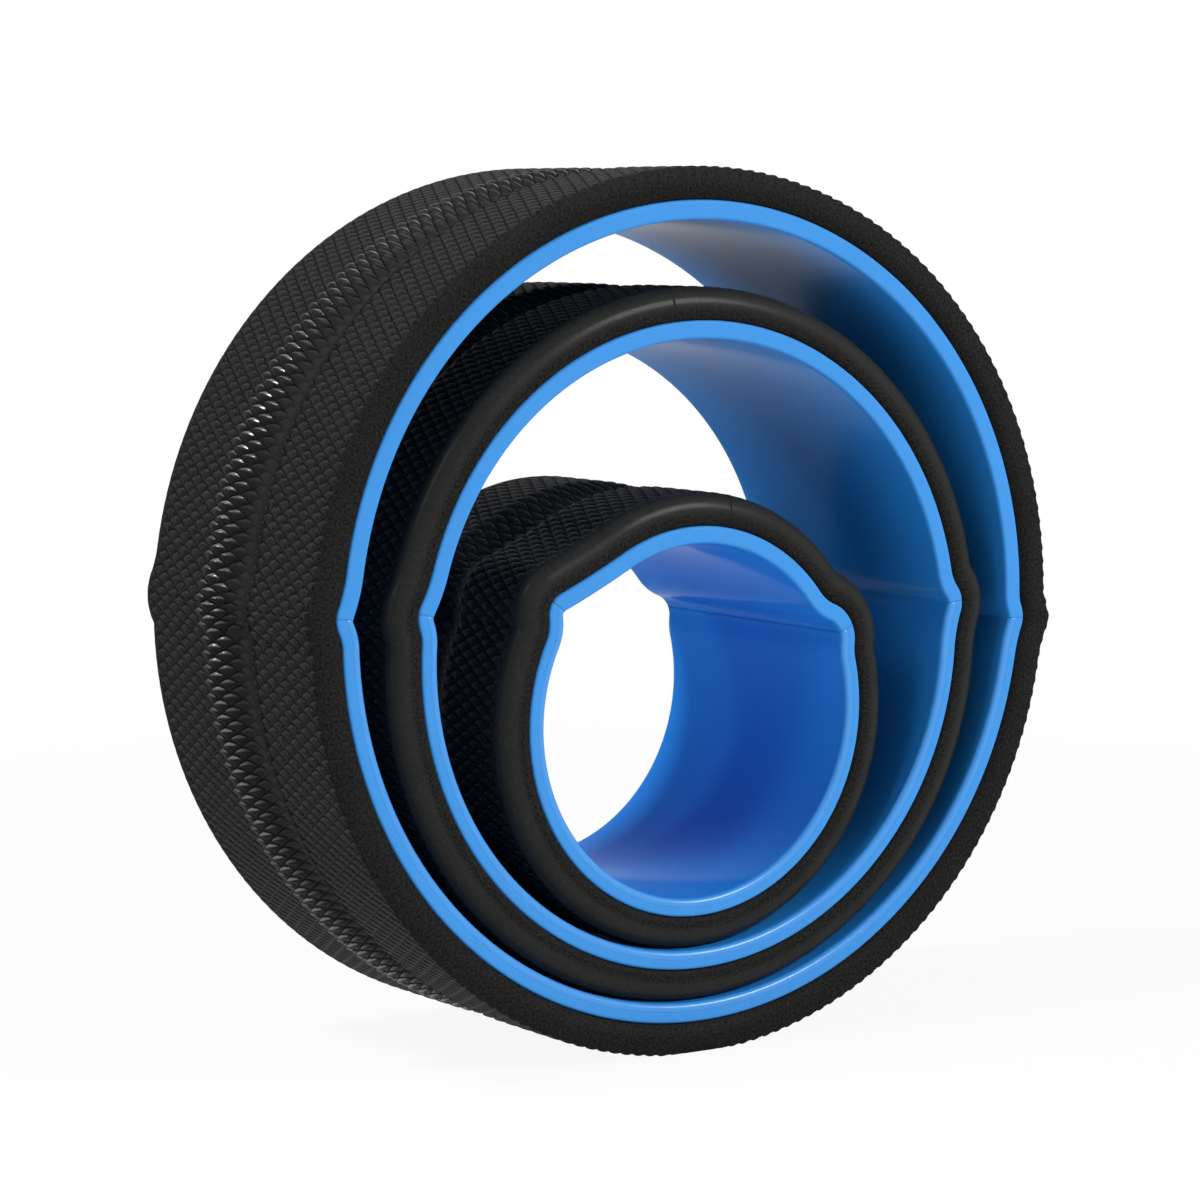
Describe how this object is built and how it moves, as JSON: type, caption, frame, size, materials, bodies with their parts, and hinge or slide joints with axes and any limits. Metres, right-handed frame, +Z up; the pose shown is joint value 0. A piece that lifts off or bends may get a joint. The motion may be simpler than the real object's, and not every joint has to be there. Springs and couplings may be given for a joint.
{
  "type": "yoga wheel",
  "caption": "Nested set of three yoga wheels: glossy blue plastic rings under embossed black foam treads with a hollow for the spine",
  "frame": {"origin": "On the floor, under the middle of the set's bounding box", "axes": "+Z up. The wheels' axis runs along Y and the front faces look towards -Y. +X is to the right as seen from the front."},
  "size_m": [0.3343, 0.12, 0.329],
  "materials": {
    "shell_blue": "glossy moulded ABS, sky blue",
    "tread_foam": "embossed closed-cell foam, black, satin skin on the embossing and matte on the cut edges",
    "bond_film": "dark adhesive film"
  },
  "bodies": {
    "large_wheel": {"large_upper_shell": "shell_blue", "large_lower_shell": "shell_blue", "large_upper_film": "bond_film", "large_lower_film": "bond_film", "large_upper_tread": "tread_foam", "large_lower_tread": "tread_foam"},
    "medium_wheel": {"medium_upper_shell": "shell_blue", "medium_lower_shell": "shell_blue", "medium_left_film": "bond_film", "medium_right_film": "bond_film", "medium_left_tread": "tread_foam", "medium_right_tread": "tread_foam"},
    "small_wheel": {"small_upper_shell": "shell_blue", "small_lower_shell": "shell_blue", "small_left_film": "bond_film", "small_right_film": "bond_film", "small_left_tread": "tread_foam", "small_right_tread": "tread_foam"}
  },
  "joints": [
    {"name": "medium_slide", "type": "slide", "parent": "large_wheel", "child": "medium_wheel", "axis": [0, -1, 0], "range_m": [0, 0.14]},
    {"name": "small_slide", "type": "slide", "parent": "medium_wheel", "child": "small_wheel", "axis": [0, -1, 0], "range_m": [0, 0.14]}
  ]
}
